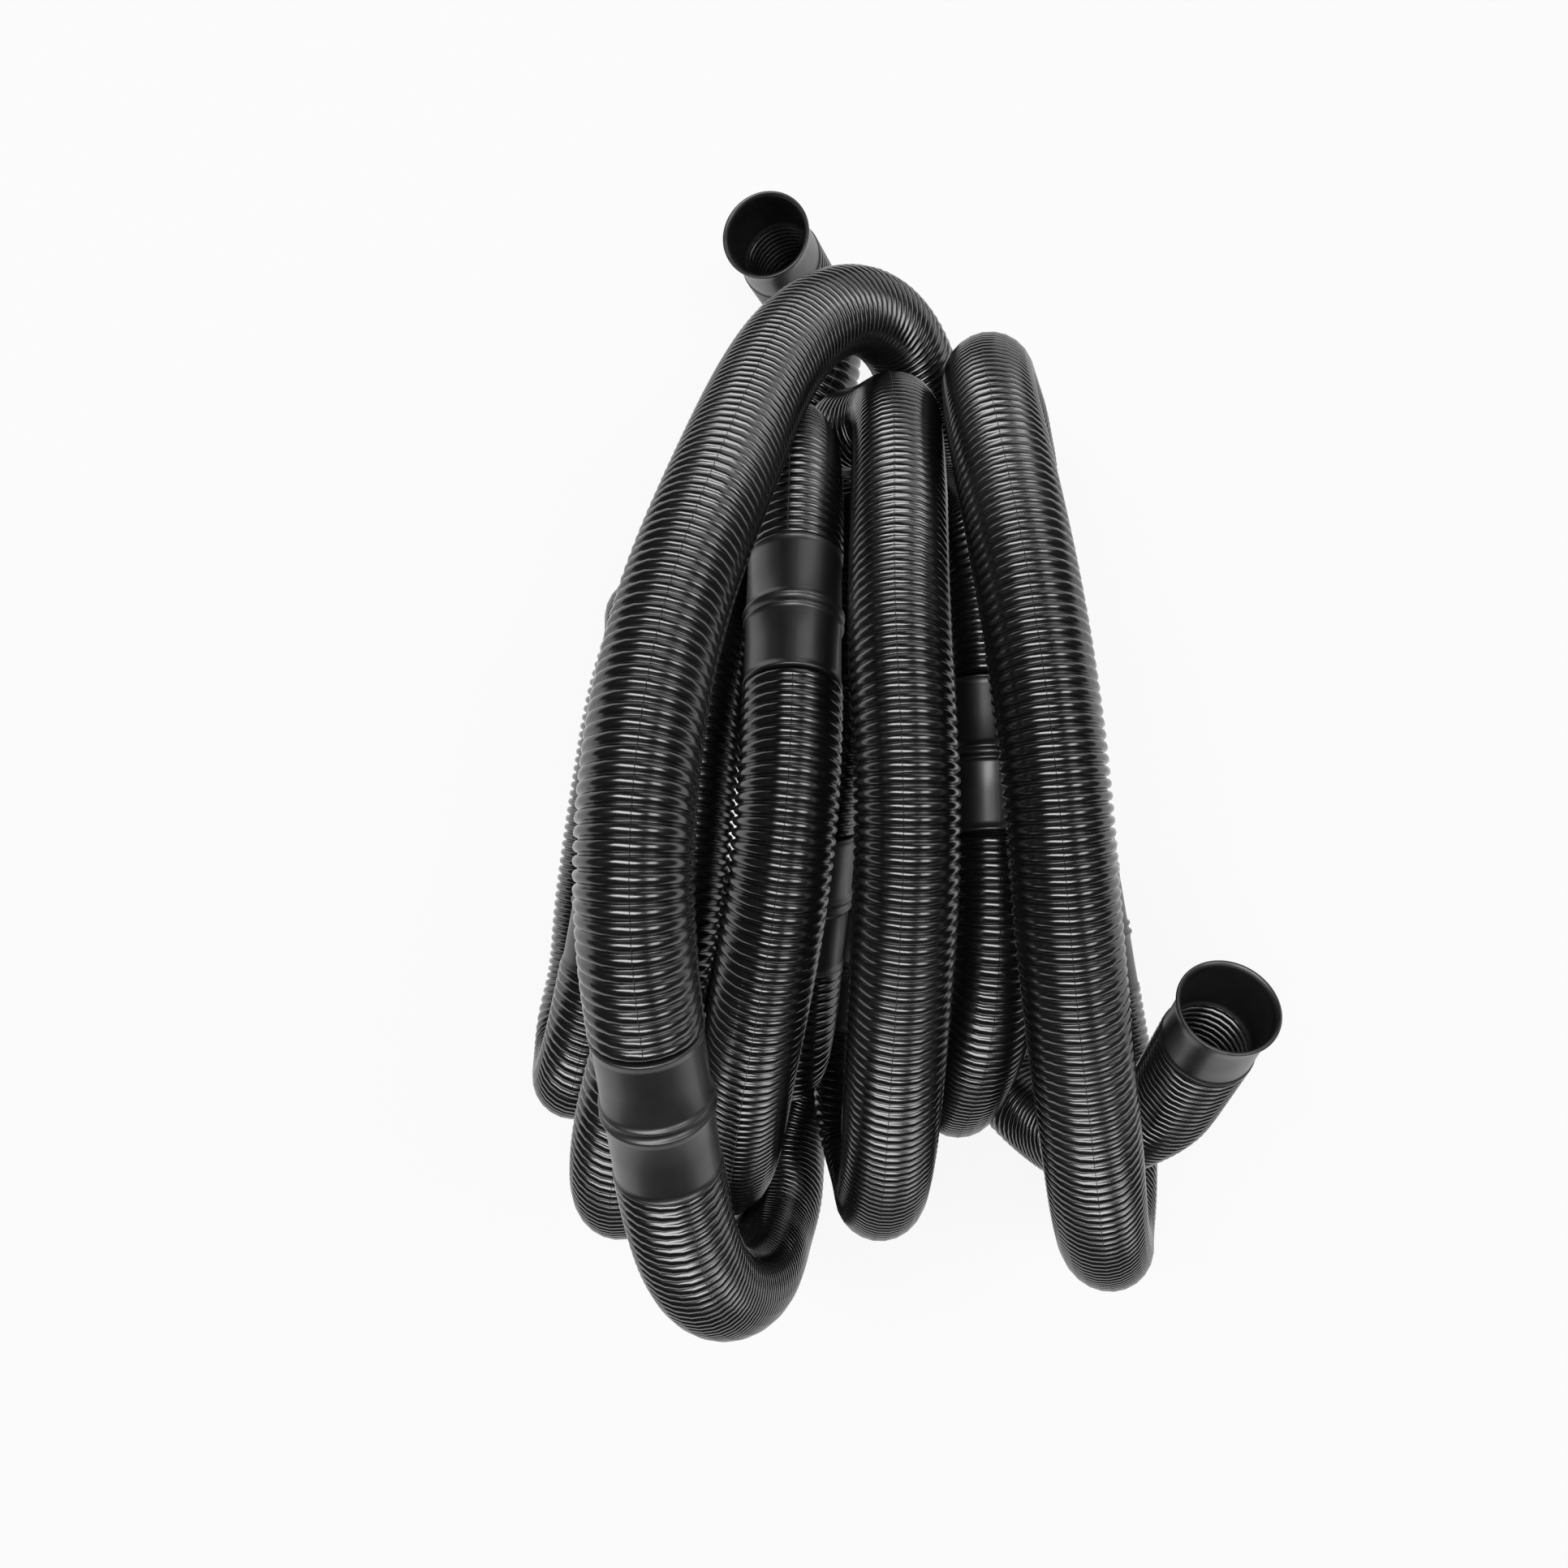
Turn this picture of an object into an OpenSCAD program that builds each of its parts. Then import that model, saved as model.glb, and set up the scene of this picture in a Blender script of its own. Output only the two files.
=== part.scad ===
// Pool vacuum hose, 38 mm nominal bore, lying on its side on a floor in a loose coil.
// It is one blow-moulded tube with annular ribs, in sections. Smooth double cuffs lie
// between the sections, each with two thin bands where it is cut, and a smooth end cuff with
// a rolled lip finishes each end. Units are millimetres, +Z is up and the hose rests on z = 0.

/* [Hose] */
// Outside diameter over the ribs
hose_od = 46; // [40:0.5:46]
// Depth of the groove between two ribs
groove_depth = 2; // [1:0.1:2.5]
// Wall between the groove and the bore
groove_wall = 2; // [1.2:0.1:3]
// Ribs on each ribbed run, as coarse stand-ins for the real ones
ribs_per_run = 12; // [8:1:14]

/* [Cuffs] */
// Length of a double cuff, which is two end cuffs before it is cut
cuff_length = 72; // [60:1:80]
// How much smaller a cuff is than the ribs, on the diameter
cuff_relief = 1.6; // [1:0.1:2.4]
// Radius of the two raised bands at the middle of a double cuff
band_radius = 1.3; // [0.8:0.1:1.6]
// Distance between the two bands
band_gap = 5.2; // [4:0.1:7]
// Diameter of the rolled lip at the mouth of an end cuff
lip_od = 48; // [47:0.5:50]
// Thickness of the rolled lip
lip_thickness = 2.4; // [1.6:0.1:3]
// Length of the flare behind the lip
flare_length = 7; // [5:0.5:12]

/* [Hidden] */

hose_color = [0.12, 0.12, 0.13];
cuff_color = [0.2, 0.2, 0.2];
hose_r = hose_od / 2;
groove_r = hose_r - groove_depth;
bore_r = groove_r - groove_wall;
cuff_r = hose_r - cuff_relief / 2;
half_cuff = cuff_length / 2;
// Height of the axis where the hose lies on the floor, flattened by a tenth of its diameter
lie = hose_r - hose_od / 10;
// The lowest that a bore may reach where the hose is flattened by the floor
floor_wall = 1.2;
sides = 8;
round_steps = 96;

// The route of the hose's axis, from the mouth of end cuff 1 to the mouth of end cuff 2. Each
// list is one stretch: a "front" leg stands over the coil, a "floor" leg lies under it.
// End cuff 1 looks up, clear of the floor
mouth_rise = [
    [200, -100, 255], [195, -125, 220], [195, -150, 185],
];
// Its tail comes down to the floor, turns back under the coil and comes out again
tail_1 = [
    [185, -175, 145], [165, -195, 105], [150, -195, 60], [130, -175, 30], [120, -140, lie],
    [110, -95, lie], [100, -70, lie], [70, -60, lie], [45, -70, lie], [35, -95, lie],
    [25, -145, lie], [15, -180, lie],
];
// The tail rises into the first front leg
tail_rise = [
    [5, -215, 30], [5, -235, 50], [0, -250, 90], [-5, -250, 140],
];
// Front leg 1, the highest, and the arch over the other crowns
front_1 = [
    [-15, -250, 175], [-25, -240, 215], [-35, -215, 260], [-45, -180, 300], [-50, -145, 330],
    [-50, -115, 350], [-55, -80, 365], [-55, -25, 370], [-50, 35, 355], [-45, 75, 335],
    [-30, 110, 315], [-20, 155, 265], [0, 205, 210], [15, 230, 170], [40, 250, 140], [60, 250, 110],
    [80, 225, 80],
];
// Front leg 2, down to its foot
front_2 = [
    [85, 200, 60], [85, 175, 60], [90, 155, 85], [90, 140, 130], [95, 110, 180], [95, 80, 210],
    [95, 45, 230], [95, 15, 245], [95, -25, 250], [95, -55, 240], [95, -90, 230], [95, -125, 200],
    [90, -155, 150],
];
// Floor leg 1
floor_1 = [
    [95, -170, 110], [100, -160, 75], [95, -130, 65], [80, -60, 70], [85, -30, 65], [90, 0, 45],
    [100, 30, 30], [115, 75, 25], [130, 120, 25], [140, 170, 35], [130, 200, 85], [120, 210, 130],
];
// Front leg 3, at the right
front_3 = [
    [105, 210, 155], [100, 185, 200], [100, 145, 245], [105, 95, 275], [110, 40, 295],
    [115, -10, 305], [120, -65, 295], [130, -120, 275], [140, -165, 250], [150, -205, 210],
];
// Floor leg 2, which crosses leg 1
floor_2 = [
    [165, -235, 160], [180, -245, 100], [195, -220, 45], [195, -175, 25], [190, -115, 25],
    [180, -45, 25], [160, 5, 35], [135, 60, 85], [100, 100, 80], [70, 130, 35], [55, 155, 30],
    [40, 180, 40], [35, 200, 70], [45, 195, 100],
];
// Front leg 4
front_4 = [
    [60, 195, 135], [55, 175, 175], [55, 130, 225], [50, 75, 270], [50, 25, 290], [55, -10, 295],
    [50, -65, 285], [50, -120, 260], [50, -160, 225], [50, -195, 185],
];
// Floor leg 3
floor_3 = [
    [50, -215, 140], [50, -220, 105], [50, -200, 80], [45, -170, 70], [35, -130, 75], [30, -80, 80],
    [40, -30, 95], [45, 20, 100], [35, 65, 80], [30, 100, 70], [25, 130, 85], [25, 135, 115],
];
// Front leg 5, behind legs 4 and 6
front_5 = [
    [25, 115, 145], [25, 85, 165], [25, 45, 180], [15, -5, 200], [10, -50, 195], [5, -95, 175],
    [5, -120, 145],
];
// Floor leg 4
floor_4 = [
    [0, -140, 110], [-15, -130, 70], [-10, -85, 40], [-5, -45, lie], [5, 10, lie], [5, 55, lie],
    [5, 90, lie], [-10, 125, 35], [-15, 150, 60], [-10, 180, 85],
];
// Front leg 6
front_6 = [
    [0, 185, 125], [5, 160, 160], [5, 140, 190], [5, 120, 215], [5, 85, 245], [5, 40, 255],
    [0, -15, 270], [-5, -65, 265], [-15, -115, 245], [-20, -155, 200], [-25, -190, 155],
];
// Floor leg 5
floor_5 = [
    [-30, -205, 135], [-35, -210, 100], [-35, -205, 60], [-40, -190, 30], [-50, -150, 25],
    [-60, -95, 25], [-60, -35, 25], [-45, 15, 25], [-45, 50, 30], [-30, 85, 55], [-30, 105, 90],
];
// Front leg 7, behind leg 1
front_7 = [
    [-25, 120, 135], [-30, 110, 180], [-40, 55, 215], [-45, 0, 240], [-50, -60, 235],
    [-60, -105, 230], [-75, -140, 220], [-80, -175, 200], [-85, -205, 160],
];
// Floor leg 6
floor_6 = [
    [-85, -220, 125], [-85, -205, 90], [-75, -180, 75], [-65, -150, 75], [-75, -100, 70],
    [-85, -35, 65], [-80, 30, 65], [-80, 60, 70],
];
// Front leg 8, a low one behind leg 7
front_8 = [
    [-75, 85, 85], [-75, 90, 125], [-70, 70, 150], [-70, 35, 170], [-80, -20, 170], [-85, -75, 160],
    [-100, -125, 145], [-115, -150, 105],
];
// Floor leg 7, the outermost, and the turn under the arch
floor_7 = [
    [-120, -165, 60], [-125, -145, 30], [-120, -120, lie], [-115, -70, lie], [-105, 0, lie],
    [-95, 55, lie], [-80, 100, lie], [-60, 145, lie], [-30, 175, lie], [0, 200, lie],
    [15, 230, lie], [25, 250, lie], [20, 270, 30],
];
// The tail of end cuff 2, which looks up
tail_2 = [
    [10, 290, 40], [0, 295, 80], [-10, 295, 120],
];
stations = concat(
    mouth_rise, tail_1, tail_rise, front_1, front_2, floor_1, front_3, floor_2, front_4, floor_3,
    front_5, floor_4, front_6, floor_5, front_7, floor_6, front_8, floor_7, tail_2
);

// Length of a run that stays straight beside a cuff, then the length that eases into the bend
straight_lead = half_cuff + hose_od;
ease_length = 60;
curve_steps = 8;

// A point of the smooth curve from b to c, with a before them and d after them
function curve_point(a, b, c, d, t) =
    let (
        ab = sqrt(norm(b - a)),
        bc = sqrt(norm(c - b)),
        cd = sqrt(norm(d - c)),
        leave = (c - b) + bc * ((b - a) / ab - (c - a) / (ab + bc)),
        arrive = (c - b) + bc * ((d - c) / cd - (d - b) / (bc + cd))
    )
    (2 * t ^ 3 - 3 * t ^ 2 + 1) * b + (t ^ 3 - 2 * t ^ 2 + t) * leave
    + (3 * t ^ 2 - 2 * t ^ 3) * c + (t ^ 3 - t ^ 2) * arrive;

last = len(stations) - 1;
padded = concat(
    [2 * stations[0] - stations[1]], stations, [2 * stations[last] - stations[last - 1]]
);
curve = concat(
    [
        for (i = [0 : last - 1], k = [0 : curve_steps - 1])
            curve_point(padded[i], padded[i + 1], padded[i + 2], padded[i + 3], k / curve_steps)
    ],
    [stations[last]]
);
// Distance along the curve at each of its points
along = [
    for (
        i = 0, s = 0;
        i < len(curve);
        s = s + (i + 1 < len(curve) ? norm(curve[i + 1] - curve[i]) : 0), i = i + 1
    )
        s
];
hose_length = along[len(along) - 1];

table = [for (axis = [0 : 2]) [for (i = [0 : len(curve) - 1]) [along[i], curve[i][axis]]]];
function on_curve(s) = [for (axis = [0 : 2]) lookup(s, table[axis])];
function unit(v) = v / norm(v);

// Distance along the hose to the middle of each cuff. The first and the last are the mouths.
cuff_at = [0, 990, 1870, 2415, 3480, 4665, 5165, 5905, 6460, 7740, hose_length];
sections = len(cuff_at) - 1;
ahead = [for (s = cuff_at) on_curve(min(s + straight_lead, hose_length))];
behind = [for (s = cuff_at) on_curve(max(s - straight_lead, 0))];
cuff_axis = [for (k = [0 : sections]) unit(ahead[k] - behind[k])];
cuff_middle = [
    for (k = [0 : sections])
        let (on = on_curve(cuff_at[k]))
        k == 0 || k == sections ? on : on / 2 + (ahead[k] + behind[k]) / 4
];
function nearest_cuff(s, k = 0) =
    k < sections && s > (cuff_at[k] + cuff_at[k + 1]) / 2 ? nearest_cuff(s, k + 1) : k;

// The hose's axis: straight beside each cuff, and on the curve elsewhere
function axis_at(s) =
    let (
        k = nearest_cuff(s),
        ds = s - cuff_at[k],
        ease = min(max((abs(ds) - straight_lead) / ease_length, 0), 1),
        share = ease * ease * (3 - 2 * ease)
    )
    (cuff_middle[k] + ds * cuff_axis[k]) * (1 - share) + on_curve(s) * share;
function heading_at(s) = unit(axis_at(s + 1) - axis_at(s - 1));

// The coil's footprint is centred on the origin. A ring of few sides reaches as far as the mean
// of its corners and its flats.
ring_reach = hose_r * (1 + cos(180 / sides)) / 2;
reach = [
    for (k = [0, 1])
        [
            for (i = [0 : len(curve) - 1])
                let (
                    p = axis_at(along[i]),
                    h = heading_at(min(max(along[i], 1), hose_length - 1)),
                    r = i == 0 || i == len(curve) - 1 ? lip_od / 2 : ring_reach,
                    half_width = r * sqrt(1 - h[k] * h[k])
                )
                [p[k] - half_width, p[k] + half_width]
        ]
];
centre = [
    for (k = [0, 1]) (min([for (r = reach[k]) r[0]]) + max([for (r = reach[k]) r[1]])) / 2
];
function placed(p) = [p[0] - centre[0], p[1] - centre[1], p[2]];

// One unbroken ribbed tube with its bore, from distance "from" to distance "to"
module ribbed_tube(from, to) {
    rings = 2 * ribs_per_run + 1;
    stops = [for (i = [0 : rings - 1]) from + (to - from) * i / (rings - 1)];
    middles = [for (s = stops) placed(axis_at(s))];
    headings = [for (s = stops) heading_at(s)];
    first_side = unit(cross(headings[0], abs(headings[0].z) > 0.8 ? [1, 0, 0] : [0, 0, 1]));
    // The side direction is carried along without twist
    side_dirs = [
        for (
            i = 0, u = first_side;
            i < rings;
            u = i + 1 < rings ? unit(u - (u * headings[i + 1]) * headings[i + 1]) : u, i = i + 1
        )
            u
    ];
    function ring_point(i, j, r, lowest) =
        let (
            v = cross(headings[i], side_dirs[i]),
            p = middles[i] + r * (cos(360 * j / sides) * side_dirs[i] + sin(360 * j / sides) * v)
        )
        [p.x, p.y, max(p.z, lowest)];
    outer = [
        for (i = [0 : rings - 1], j = [0 : sides - 1])
            ring_point(i, j, i % 2 == 0 ? groove_r : hose_r, 0)
    ];
    inner = [for (i = [0 : rings - 1], j = [0 : sides - 1]) ring_point(i, j, bore_r, floor_wall)];
    base = len(outer);
    skin = [
        for (i = [0 : rings - 2], j = [0 : sides - 1])
            let (
                a = i * sides + j,
                b = i * sides + (j + 1) % sides,
                c = a + sides,
                d = b + sides
            )
            each [[a, c, b], [b, c, d], [base + a, base + b, base + c], [base + b, base + d, base + c]]
    ];
    end = (rings - 1) * sides;
    caps = [
        for (j = [0 : sides - 1])
            let (k = (j + 1) % sides)
            each [
                [j, k, base + j], [k, base + k, base + j],
                [end + j, base + end + j, end + k], [end + k, base + end + j, base + end + k],
            ]
    ];
    polyhedron(points = concat(outer, inner), faces = concat(skin, caps));
}

// Puts a shape that stands on z = 0 at p, with its +Z along d
module aim(p, d) {
    translate(placed(p)) rotate([0, acos(d.z), atan2(d.y, d.x)]) children();
}

module ribbed_run(n) {
    color(hose_color)
        ribbed_tube(cuff_at[n - 1] + half_cuff, cuff_at[n] - half_cuff);
}

module double_cuff(n) {
    color(cuff_color)
        aim(cuff_middle[n], cuff_axis[n])
            rotate_extrude($fn = round_steps) {
                translate([bore_r, -half_cuff]) square([cuff_r - bore_r, cuff_length]);
                for (side = [-1, 1])
                    translate([cuff_r - band_radius / 2, side * band_gap / 2])
                        circle(band_radius, $fn = 32);
            }
}

// The mouth is at z = 0 and the hose goes off along +Z
module end_cuff() {
    lip_r = lip_od / 2 - lip_thickness / 2;
    color(cuff_color)
        rotate_extrude($fn = round_steps) {
            polygon([
                [bore_r, 0],
                [lip_r, 0],
                [cuff_r, flare_length],
                [cuff_r, half_cuff],
                [bore_r, half_cuff],
            ]);
            translate([lip_r, lip_thickness / 2]) circle(lip_thickness / 2, $fn = 32);
        }
}

module end_cuff_1() {
    aim(cuff_middle[0], cuff_axis[0]) end_cuff();
}

module end_cuff_2() {
    aim(cuff_middle[sections], -cuff_axis[sections]) end_cuff();
}

// The least gap between the hose and itself, and where each cuff lies
function least_gap(step = 14) =
    let (
        points = [for (s = [0 : step : hose_length]) axis_at(s)],
        apart = ceil(2.4 * hose_od / step)
    )
    min([
        for (i = [0 : len(points) - apart - 1])
            min([for (j = [i + apart : len(points) - 1]) norm(points[j] - points[i])])
    ]) - hose_od;

union() {
    echo(hose_length = hose_length);
    echo(least_gap = least_gap());
    echo(mouth_1 = placed(cuff_middle[0]), looks = -cuff_axis[0]);
    echo(mouth_2 = placed(cuff_middle[sections]), looks = cuff_axis[sections]);
}

end_cuff_1();
end_cuff_2();
for (n = [1 : sections])
    ribbed_run(n);
for (n = [1 : sections - 1])
    double_cuff(n);
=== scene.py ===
import math

import bmesh
import bpy
from mathutils import Matrix, Vector


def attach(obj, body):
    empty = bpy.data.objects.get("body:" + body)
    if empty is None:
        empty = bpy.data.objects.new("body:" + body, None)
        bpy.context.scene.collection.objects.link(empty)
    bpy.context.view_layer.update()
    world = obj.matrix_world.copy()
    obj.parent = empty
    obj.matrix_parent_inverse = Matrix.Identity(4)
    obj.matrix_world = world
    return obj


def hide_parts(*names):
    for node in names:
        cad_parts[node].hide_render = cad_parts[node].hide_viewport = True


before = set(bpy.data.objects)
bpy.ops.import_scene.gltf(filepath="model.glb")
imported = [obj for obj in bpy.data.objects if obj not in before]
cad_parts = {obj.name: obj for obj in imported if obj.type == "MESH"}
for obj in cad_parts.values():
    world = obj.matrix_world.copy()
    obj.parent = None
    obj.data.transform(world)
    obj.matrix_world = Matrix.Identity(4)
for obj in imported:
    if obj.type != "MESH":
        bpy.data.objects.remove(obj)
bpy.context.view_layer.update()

bl_info = {
    "name": "Pool Vacuum Hose",
    "version": (1, 0, 0),
    "blender": (4, 5, 0),
    "location": "3D View > Sidebar > Hose",
    "description": "Dresses a coiled pool vacuum hose in its ribs, cuffs and satin plastic",
    "category": "Object",
}

BODY = "hose"
SECTIONS = sum(1 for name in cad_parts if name.startswith("ribbed_run_"))

# Sizes that the route is drawn with, in metres
HOSE_D = 0.046
CUFF_LENGTH = 0.072
LIP_D = 0.048
# Sides of the plain rings that the coil's footprint is measured on
RING_SIDES = 8
# Height of the axis where the hose lies on the floor and settles by a tenth
LIE = HOSE_D / 2 - HOSE_D / 10

# The route of the hose's axis, from the mouth of end cuff 1 to the mouth of end cuff 2. A
# front leg stands over the coil and a floor leg lies under it.
MOUTH_RISE = [(0.2, -0.1, 0.255), (0.195, -0.125, 0.22), (0.195, -0.15, 0.185)]
TAIL_1 = [
    (0.185, -0.175, 0.145), (0.165, -0.195, 0.105), (0.15, -0.195, 0.06), (0.13, -0.175, 0.03),
    (0.12, -0.14, LIE), (0.11, -0.095, LIE), (0.1, -0.07, LIE), (0.07, -0.06, LIE),
    (0.045, -0.07, LIE), (0.035, -0.095, LIE), (0.024, -0.145, LIE), (0.012, -0.18, LIE),
]
TAIL_RISE = [
    (0.002, -0.215, 0.03), (0, -0.236, 0.05), (-0.007, -0.25, 0.09), (-0.012, -0.25, 0.14),
]
FRONT_1 = [
    (-0.018, -0.25, 0.175), (-0.026, -0.24, 0.215), (-0.035, -0.215, 0.26), (-0.045, -0.18, 0.3),
    (-0.05, -0.145, 0.33), (-0.05, -0.115, 0.35), (-0.055, -0.08, 0.365), (-0.055, -0.025, 0.37),
    (-0.05, 0.035, 0.355), (-0.045, 0.075, 0.335), (-0.03, 0.11, 0.315), (-0.02, 0.155, 0.265),
    (0, 0.205, 0.21), (0.015, 0.23, 0.17), (0.04, 0.25, 0.14), (0.06, 0.25, 0.11),
    (0.08, 0.225, 0.08),
]
FRONT_2 = [
    (0.085, 0.2, 0.06), (0.085, 0.175, 0.06), (0.09, 0.155, 0.085), (0.09, 0.14, 0.13),
    (0.095, 0.11, 0.18), (0.095, 0.08, 0.21), (0.095, 0.045, 0.23), (0.095, 0.015, 0.245),
    (0.095, -0.025, 0.25), (0.095, -0.055, 0.24), (0.095, -0.09, 0.23), (0.095, -0.125, 0.2),
    (0.09, -0.155, 0.15),
]
FLOOR_1 = [
    (0.095, -0.17, 0.11), (0.1, -0.16, 0.075), (0.095, -0.13, 0.065), (0.08, -0.06, 0.07),
    (0.085, -0.03, 0.065), (0.09, 0, 0.045), (0.1, 0.03, 0.03), (0.115, 0.075, 0.025),
    (0.13, 0.12, 0.025), (0.135, 0.165, 0.036), (0.128, 0.197, 0.075), (0.115, 0.209, 0.116),
]
FRONT_3 = [
    (0.105, 0.21, 0.155), (0.1, 0.185, 0.2), (0.1, 0.145, 0.245), (0.105, 0.095, 0.275),
    (0.11, 0.04, 0.295), (0.115, -0.01, 0.305), (0.12, -0.065, 0.295), (0.13, -0.12, 0.275),
    (0.14, -0.165, 0.25), (0.15, -0.205, 0.21),
]
FLOOR_2 = [
    (0.165, -0.235, 0.16), (0.18, -0.245, 0.1), (0.195, -0.22, 0.045), (0.195, -0.175, 0.025),
    (0.19, -0.115, 0.025), (0.18, -0.045, 0.025), (0.16, 0.005, 0.035), (0.135, 0.06, 0.085),
    (0.1, 0.1, 0.08), (0.07, 0.13, 0.035), (0.055, 0.155, 0.03), (0.04, 0.18, 0.04),
    (0.035, 0.2, 0.07), (0.045, 0.195, 0.1),
]
FRONT_4 = [
    (0.06, 0.195, 0.135), (0.055, 0.175, 0.175), (0.055, 0.13, 0.225), (0.05, 0.075, 0.27),
    (0.05, 0.025, 0.29), (0.055, -0.01, 0.295), (0.05, -0.065, 0.285), (0.05, -0.12, 0.26),
    (0.05, -0.16, 0.225), (0.05, -0.195, 0.185),
]
FLOOR_3 = [
    (0.05, -0.215, 0.14), (0.05, -0.22, 0.105), (0.05, -0.2, 0.08), (0.045, -0.17, 0.07),
    (0.035, -0.13, 0.075), (0.03, -0.08, 0.08), (0.04, -0.03, 0.095), (0.045, 0.02, 0.1),
    (0.035, 0.065, 0.08), (0.03, 0.1, 0.07), (0.025, 0.13, 0.085), (0.025, 0.135, 0.115),
]
FRONT_5 = [
    (0.025, 0.115, 0.145), (0.025, 0.085, 0.165), (0.025, 0.045, 0.18), (0.015, -0.005, 0.2),
    (0.01, -0.05, 0.195), (0.005, -0.095, 0.175), (0.005, -0.12, 0.145),
]
FLOOR_4 = [
    (0, -0.14, 0.11), (-0.015, -0.13, 0.07), (-0.01, -0.085, 0.04), (-0.005, -0.045, LIE),
    (0.005, 0.01, LIE), (0.005, 0.055, LIE), (0.005, 0.09, LIE), (-0.01, 0.125, 0.035),
    (-0.015, 0.15, 0.06), (-0.01, 0.18, 0.085),
]
FRONT_6 = [
    (0, 0.185, 0.125), (0.005, 0.16, 0.16), (0.005, 0.14, 0.19), (0.005, 0.12, 0.215),
    (0.005, 0.085, 0.245), (0.005, 0.04, 0.255), (0, -0.015, 0.27), (-0.005, -0.065, 0.265),
    (-0.015, -0.115, 0.245), (-0.02, -0.155, 0.2), (-0.025, -0.19, 0.155),
]
FLOOR_5 = [
    (-0.03, -0.205, 0.135), (-0.035, -0.21, 0.1), (-0.035, -0.205, 0.06), (-0.04, -0.19, 0.03),
    (-0.05, -0.15, 0.025), (-0.06, -0.095, 0.025), (-0.06, -0.035, 0.025), (-0.045, 0.015, 0.025),
    (-0.045, 0.05, 0.03), (-0.03, 0.085, 0.055), (-0.03, 0.105, 0.09),
]
FRONT_7 = [
    (-0.025, 0.12, 0.135), (-0.03, 0.11, 0.18), (-0.04, 0.055, 0.215), (-0.045, 0, 0.24),
    (-0.05, -0.06, 0.235), (-0.06, -0.105, 0.23), (-0.075, -0.14, 0.22), (-0.08, -0.175, 0.2),
    (-0.085, -0.205, 0.16),
]
FLOOR_6 = [
    (-0.085, -0.22, 0.125), (-0.085, -0.205, 0.09), (-0.075, -0.18, 0.075),
    (-0.065, -0.15, 0.075), (-0.075, -0.1, 0.07), (-0.085, -0.035, 0.065), (-0.08, 0.03, 0.065),
    (-0.08, 0.06, 0.07),
]
FRONT_8 = [
    (-0.075, 0.085, 0.085), (-0.075, 0.09, 0.125), (-0.07, 0.07, 0.15), (-0.07, 0.035, 0.17),
    (-0.08, -0.02, 0.17), (-0.085, -0.075, 0.16), (-0.1, -0.125, 0.145), (-0.115, -0.15, 0.105),
]
FLOOR_7 = [
    (-0.12, -0.165, 0.06), (-0.125, -0.145, 0.03), (-0.12, -0.12, LIE), (-0.115, -0.07, LIE),
    (-0.105, 0, LIE), (-0.095, 0.055, LIE), (-0.08, 0.1, LIE), (-0.06, 0.145, LIE),
    (-0.03, 0.175, LIE), (0, 0.2, LIE), (0.015, 0.23, LIE), (0.025, 0.25, LIE),
    (0.02, 0.27, 0.03),
]
TAIL_2 = [(0.01, 0.29, 0.04), (0, 0.295, 0.08), (-0.01, 0.295, 0.12)]
# How stiffly the hose evens out its line through the stations of a stretch
EASY, STIFF = 0.5, 1000.0
STRETCHES = (
    (MOUTH_RISE, EASY), (TAIL_1, EASY), (TAIL_RISE, EASY), (FRONT_1, STIFF), (FRONT_2, STIFF),
    (FLOOR_1, EASY), (FRONT_3, STIFF), (FLOOR_2, EASY), (FRONT_4, STIFF), (FLOOR_3, EASY),
    (FRONT_5, STIFF), (FLOOR_4, EASY), (FRONT_6, STIFF), (FLOOR_5, EASY), (FRONT_7, STIFF),
    (FLOOR_6, EASY), (FRONT_8, STIFF), (FLOOR_7, EASY), (TAIL_2, EASY),
)
STATIONS = [station for stretch, _ in STRETCHES for station in stretch]
STIFFNESS = [stiffness for stretch, stiffness in STRETCHES for _ in stretch]
# Distance along the hose to the middle of each double cuff
DOUBLE_CUFFS_AT = (0.975, 1.87, 2.415, 3.48, 4.665, 5.165, 5.896, 6.46, 7.74)
# Steps of the smooth curve between two stations
CURVE_STEPS = 8
# Straight length on each side of a cuff's middle, and the length that eases it into the curve
STRAIGHT_LEAD = CUFF_LENGTH / 2 + HOSE_D
EASE_LENGTH = 0.06
# Distance ahead and behind at which a heading is taken
HEADING_REACH = 0.001
# Spacing of the points that are evened out, and how far the stiffness of a stretch blends into
# the next one, in points: the spread of the blend and the points taken on each side
EVEN_SPACING = 0.01
BLEND_SPREAD = 2.5
BLEND_REACH = 6
# How firmly the evened line holds to its points: along the hose, on the first and last few
# points, which carry the mouths, and on the two end points themselves
HOLD, HOLD_MOUTH, HOLD_END = 1.0, 200.0, 1e4
MOUTH_POINTS = 9
# Length of a run that is tucked into each cuff
TUCK = 0.001


# ---------------------------------------------------------------- the route


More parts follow.
